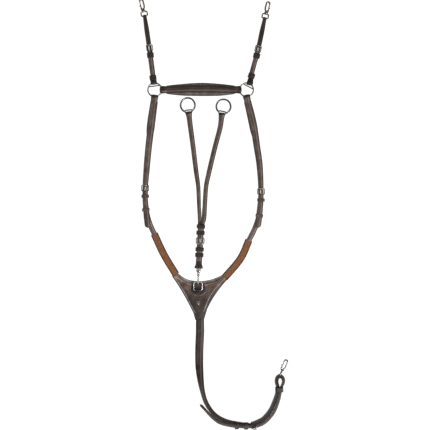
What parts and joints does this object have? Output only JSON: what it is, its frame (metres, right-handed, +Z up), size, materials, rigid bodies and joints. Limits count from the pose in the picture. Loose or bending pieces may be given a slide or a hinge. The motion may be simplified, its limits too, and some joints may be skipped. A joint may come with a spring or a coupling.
{
  "type": "martingale",
  "caption": "Dark brown leather breastplate with elastic inserts, padded wither strap, saddle straps, running-martingale fork with rings, and a girth strap with a snap hook.",
  "frame": {"origin": "on the surface that the harness lies on, under the middle of the chest piece, just above the dee's loop", "axes": "+Y from the chest towards the withers, +X towards the girth strap's snap, +Z up out of the surface"},
  "size_m": [0.4468, 1.2916, 0.0297],
  "materials": {
    "bridle_leather": "satin",
    "lining_leather": "soft satin",
    "piping_leather": "satin",
    "elastic_webbing": "ribbed weave",
    "steel": "polished"
  },
  "bodies": {
    "chest": {"chest_lining": "lining_leather", "chest_face": "bridle_leather", "chest_piping": "piping_leather", "dee_chape": "bridle_leather", "chest_stud": "steel"},
    "dee": {"chest_dee": "steel"},
    "wither": {"wither_lining": "lining_leather", "wither_strap": "bridle_leather"},
    "fork_snap": {"fork_snap": "steel"},
    "fork_gate": {"fork_gate": "steel"},
    "fork_strap": {"fork_stem": "bridle_leather", "fork_billet": "bridle_leather", "fork_buckle": "steel", "fork_keepers": "bridle_leather"},
    "fork_tongue": {"fork_tongue": "steel"},
    "fork_branches": {"left_branch": "bridle_leather", "right_branch": "bridle_leather"},
    "girth": {"girth_strap": "bridle_leather", "girth_billet": "bridle_leather", "girth_buckle": "steel", "girth_keepers": "bridle_leather"},
    "girth_tongue": {"girth_tongue": "steel"},
    "girth_eye": {"girth_eye": "steel"},
    "girth_hook": {"girth_hook": "steel"},
    "girth_gate": {"girth_gate": "steel"},
    "left_elastic": {"left_elastic": "elastic_webbing"},
    "left_shoulder": {"left_shoulder_strap": "bridle_leather", "left_shoulder_padding": "lining_leather", "left_shoulder_chape": "bridle_leather", "left_shoulder_buckle": "steel", "left_shoulder_fixed_keeper": "bridle_leather"},
    "left_running_keeper": {"left_shoulder_running_keeper": "bridle_leather"},
    "left_shoulder_tongue": {"left_shoulder_tongue": "steel"},
    "left_wither_ring": {"left_wither_ring": "steel"},
    "left_saddle": {"left_saddle_strap": "bridle_leather", "left_saddle_hook_strap": "bridle_leather", "left_saddle_buckle": "steel", "left_saddle_keepers": "bridle_leather"},
    "left_saddle_tongue": {"left_saddle_tongue": "steel"},
    "left_saddle_snap": {"left_saddle_snap": "steel"},
    "left_saddle_gate": {"left_saddle_gate": "steel"},
    "left_fork_ring": {"left_fork_ring": "steel"},
    "right_elastic": {"right_elastic": "elastic_webbing"},
    "right_shoulder": {"right_shoulder_strap": "bridle_leather", "right_shoulder_padding": "lining_leather", "right_shoulder_chape": "bridle_leather", "right_shoulder_buckle": "steel", "right_shoulder_fixed_keeper": "bridle_leather"},
    "right_running_keeper": {"right_shoulder_running_keeper": "bridle_leather"},
    "right_shoulder_tongue": {"right_shoulder_tongue": "steel"},
    "right_wither_ring": {"right_wither_ring": "steel"},
    "right_saddle": {"right_saddle_strap": "bridle_leather", "right_saddle_hook_strap": "bridle_leather", "right_saddle_buckle": "steel", "right_saddle_keepers": "bridle_leather"},
    "right_saddle_tongue": {"right_saddle_tongue": "steel"},
    "right_saddle_snap": {"right_saddle_snap": "steel"},
    "right_saddle_gate": {"right_saddle_gate": "steel"},
    "right_fork_ring": {"right_fork_ring": "steel"}
  },
  "joints": [
    {"name": "left_chest_fold", "type": "hinge", "parent": "chest", "child": "left_elastic", "pos_m": [0, 0.05, 0.003], "axis": [1, 0, 0], "range_deg": [0, 90]},
    {"name": "left_elastic_stretch", "type": "slide", "parent": "left_elastic", "child": "left_shoulder", "axis": [0, 1, 0], "range_m": [0, 0.02], "stiffness_N_per_m": 250, "deforming": ["left_elastic"]},
    {"name": "right_chest_fold", "type": "hinge", "parent": "chest", "child": "right_elastic", "pos_m": [0, 0.05, 0.003], "axis": [1, 0, 0], "range_deg": [0, 90]},
    {"name": "right_elastic_stretch", "type": "slide", "parent": "right_elastic", "child": "right_shoulder", "axis": [0, 1, 0], "range_m": [0, 0.02], "stiffness_N_per_m": 250, "deforming": ["right_elastic"]},
    {"name": "wither_lift", "type": "hinge", "parent": "left_shoulder", "child": "wither", "pos_m": [0, 0.5795, 0.0062], "axis": [1, 0, 0], "range_deg": [-60, 85]},
    {"name": "left_ring_turn", "type": "hinge", "parent": "wither", "child": "left_wither_ring", "pos_m": [-0.134, 0.6, 0.0062], "axis": [0, 0, 1], "range_deg": [-8, 8]},
    {"name": "left_saddle_swing", "type": "hinge", "parent": "left_wither_ring", "child": "left_saddle", "pos_m": [-0.13685, 0.6203, 0.0062], "axis": [0.9903, 0.1392, 0], "range_deg": [-60, 100]},
    {"name": "left_snap_swing", "type": "hinge", "parent": "left_saddle", "child": "left_saddle_snap", "pos_m": [-0.164, 0.821, 0.0062], "axis": [0.9744, 0.225, 0], "range_deg": [-75, 75]},
    {"name": "left_snap_gate", "type": "hinge", "parent": "left_saddle_snap", "child": "left_saddle_gate", "pos_m": [-0.17438, 0.84375, 0.0062], "axis": [0, 0, -1], "range_deg": [0, 16], "stiffness_Nm_per_rad": 0.03, "springref_deg": -17.19},
    {"name": "left_saddle_tongue_lift", "type": "hinge", "parent": "left_saddle", "child": "left_saddle_tongue", "pos_m": [-0.1483, 0.717, 0.0032], "axis": [0.9936, 0.1132, 0], "range_deg": [0, 60]},
    {"name": "left_shoulder_tongue_lift", "type": "hinge", "parent": "left_shoulder", "child": "left_shoulder_tongue", "pos_m": [-0.1626, 0.297, 0.0032], "axis": [1, 0.0087, 0], "range_deg": [0, 60]},
    {"name": "right_ring_turn", "type": "hinge", "parent": "wither", "child": "right_wither_ring", "pos_m": [0.141, 0.6, 0.0062], "axis": [0, 0, 1], "range_deg": [-8, 8]},
    {"name": "right_saddle_swing", "type": "hinge", "parent": "right_wither_ring", "child": "right_saddle", "pos_m": [0.15062, 0.6181, 0.0062], "axis": [0.8829, -0.4695, 0], "range_deg": [-60, 100]},
    {"name": "right_snap_swing", "type": "hinge", "parent": "right_saddle", "child": "right_saddle_snap", "pos_m": [0.1955, 0.814, 0.0062], "axis": [0.9744, -0.225, 0], "range_deg": [-75, 75]},
    {"name": "right_snap_gate", "type": "hinge", "parent": "right_saddle_snap", "child": "right_saddle_gate", "pos_m": [0.20588, 0.83675, 0.0062], "axis": [0, 0, 1], "range_deg": [0, 16], "stiffness_Nm_per_rad": 0.03, "springref_deg": -17.19},
    {"name": "right_saddle_tongue_lift", "type": "hinge", "parent": "right_saddle", "child": "right_saddle_tongue", "pos_m": [0.1738, 0.714, 0.0032], "axis": [0.9724, -0.2334, 0], "range_deg": [0, 60]},
    {"name": "right_shoulder_tongue_lift", "type": "hinge", "parent": "right_shoulder", "child": "right_shoulder_tongue", "pos_m": [0.1844, 0.287, 0.0032], "axis": [0.9997, -0.0262, 0], "range_deg": [0, 60]},
    {"name": "left_keeper_slide", "type": "slide", "parent": "left_shoulder", "child": "left_running_keeper", "axis": [-0.0872, 0.9962, 0], "range_m": [-0.004, 0.005]},
    {"name": "right_keeper_slide", "type": "slide", "parent": "right_shoulder", "child": "right_running_keeper", "axis": [0.1478, 0.989, 0], "range_m": [-0.0025, 0.005]},
    {"name": "dee_lift", "type": "hinge", "parent": "chest", "child": "dee", "pos_m": [-0.0045, -0.0008, 0.0106], "axis": [1, 0, 0], "range_deg": [0, 90]},
    {"name": "fork_snap_swing", "type": "hinge", "parent": "dee", "child": "fork_snap", "pos_m": [-0.0045, 0.02415, 0.01411], "axis": [1, 0, 0], "range_deg": [-15, 50]},
    {"name": "fork_gate_press", "type": "hinge", "parent": "fork_snap", "child": "fork_gate", "pos_m": [-0.0035, 0.04519, 0.01543], "axis": [0.9989, -0.0474, 0], "range_deg": [0, 16], "stiffness_Nm_per_rad": 0.03, "springref_deg": -17.19},
    {"name": "fork_strap_swing", "type": "hinge", "parent": "fork_snap", "child": "fork_strap", "pos_m": [-0.0024, 0.0684, 0.0062], "axis": [0.9989, -0.0474, 0], "range_deg": [-60, 30]},
    {"name": "fork_tongue_lift", "type": "hinge", "parent": "fork_strap", "child": "fork_tongue", "pos_m": [0.0026, 0.156, 0.0032], "axis": [-0.9983, 0.0576, 0], "range_deg": [0, 60]},
    {"name": "fork_branch_fold", "type": "hinge", "parent": "fork_strap", "child": "fork_branches", "pos_m": [0.0065, 0.2397, 0.0032], "axis": [1, 0, 0], "range_deg": [-75, 75]},
    {"name": "left_fork_ring_swing", "type": "hinge", "parent": "fork_branches", "child": "left_fork_ring", "pos_m": [-0.03236, 0.53177, 0.0042], "axis": [0.9925, 0.1219, 0], "range_deg": [-75, 75]},
    {"name": "right_fork_ring_swing", "type": "hinge", "parent": "fork_branches", "child": "right_fork_ring", "pos_m": [0.06732, 0.52789, 0.0042], "axis": [0.9781, -0.2079, 0], "range_deg": [-75, 75]},
    {"name": "girth_fold", "type": "hinge", "parent": "chest", "child": "girth", "pos_m": [0.0015, -0.0929, 0.002], "axis": [1, 0, 0], "range_deg": [0, 60]},
    {"name": "girth_tongue_lift", "type": "hinge", "parent": "girth", "child": "girth_tongue", "pos_m": [0.153, -0.404, 0.01324], "axis": [-0.0256, -0.6423, -0.766], "range_deg": [0, 60]},
    {"name": "girth_eye_swing", "type": "hinge", "parent": "girth", "child": "girth_eye", "pos_m": [0.2407, -0.2544, 0.0156], "axis": [0, 0, 1], "range_deg": [-30, 30]},
    {"name": "girth_swivel", "type": "hinge", "parent": "girth_eye", "child": "girth_hook", "pos_m": [0.24656, -0.24059, 0.0156], "axis": [0.3907, 0.9205, 0], "continuous": true},
    {"name": "girth_gate_press", "type": "hinge", "parent": "girth_hook", "child": "girth_gate", "pos_m": [0.24567, -0.22989, 0.0156], "axis": [0, 0, -1], "range_deg": [0, 16], "stiffness_Nm_per_rad": 0.03, "springref_deg": -17.19}
  ],
  "couplings": [
    {"joint": "right_chest_fold", "follows": "left_chest_fold", "ratio": 1},
    {"joint": "right_elastic_stretch", "follows": "left_elastic_stretch", "ratio": 1}
  ]
}
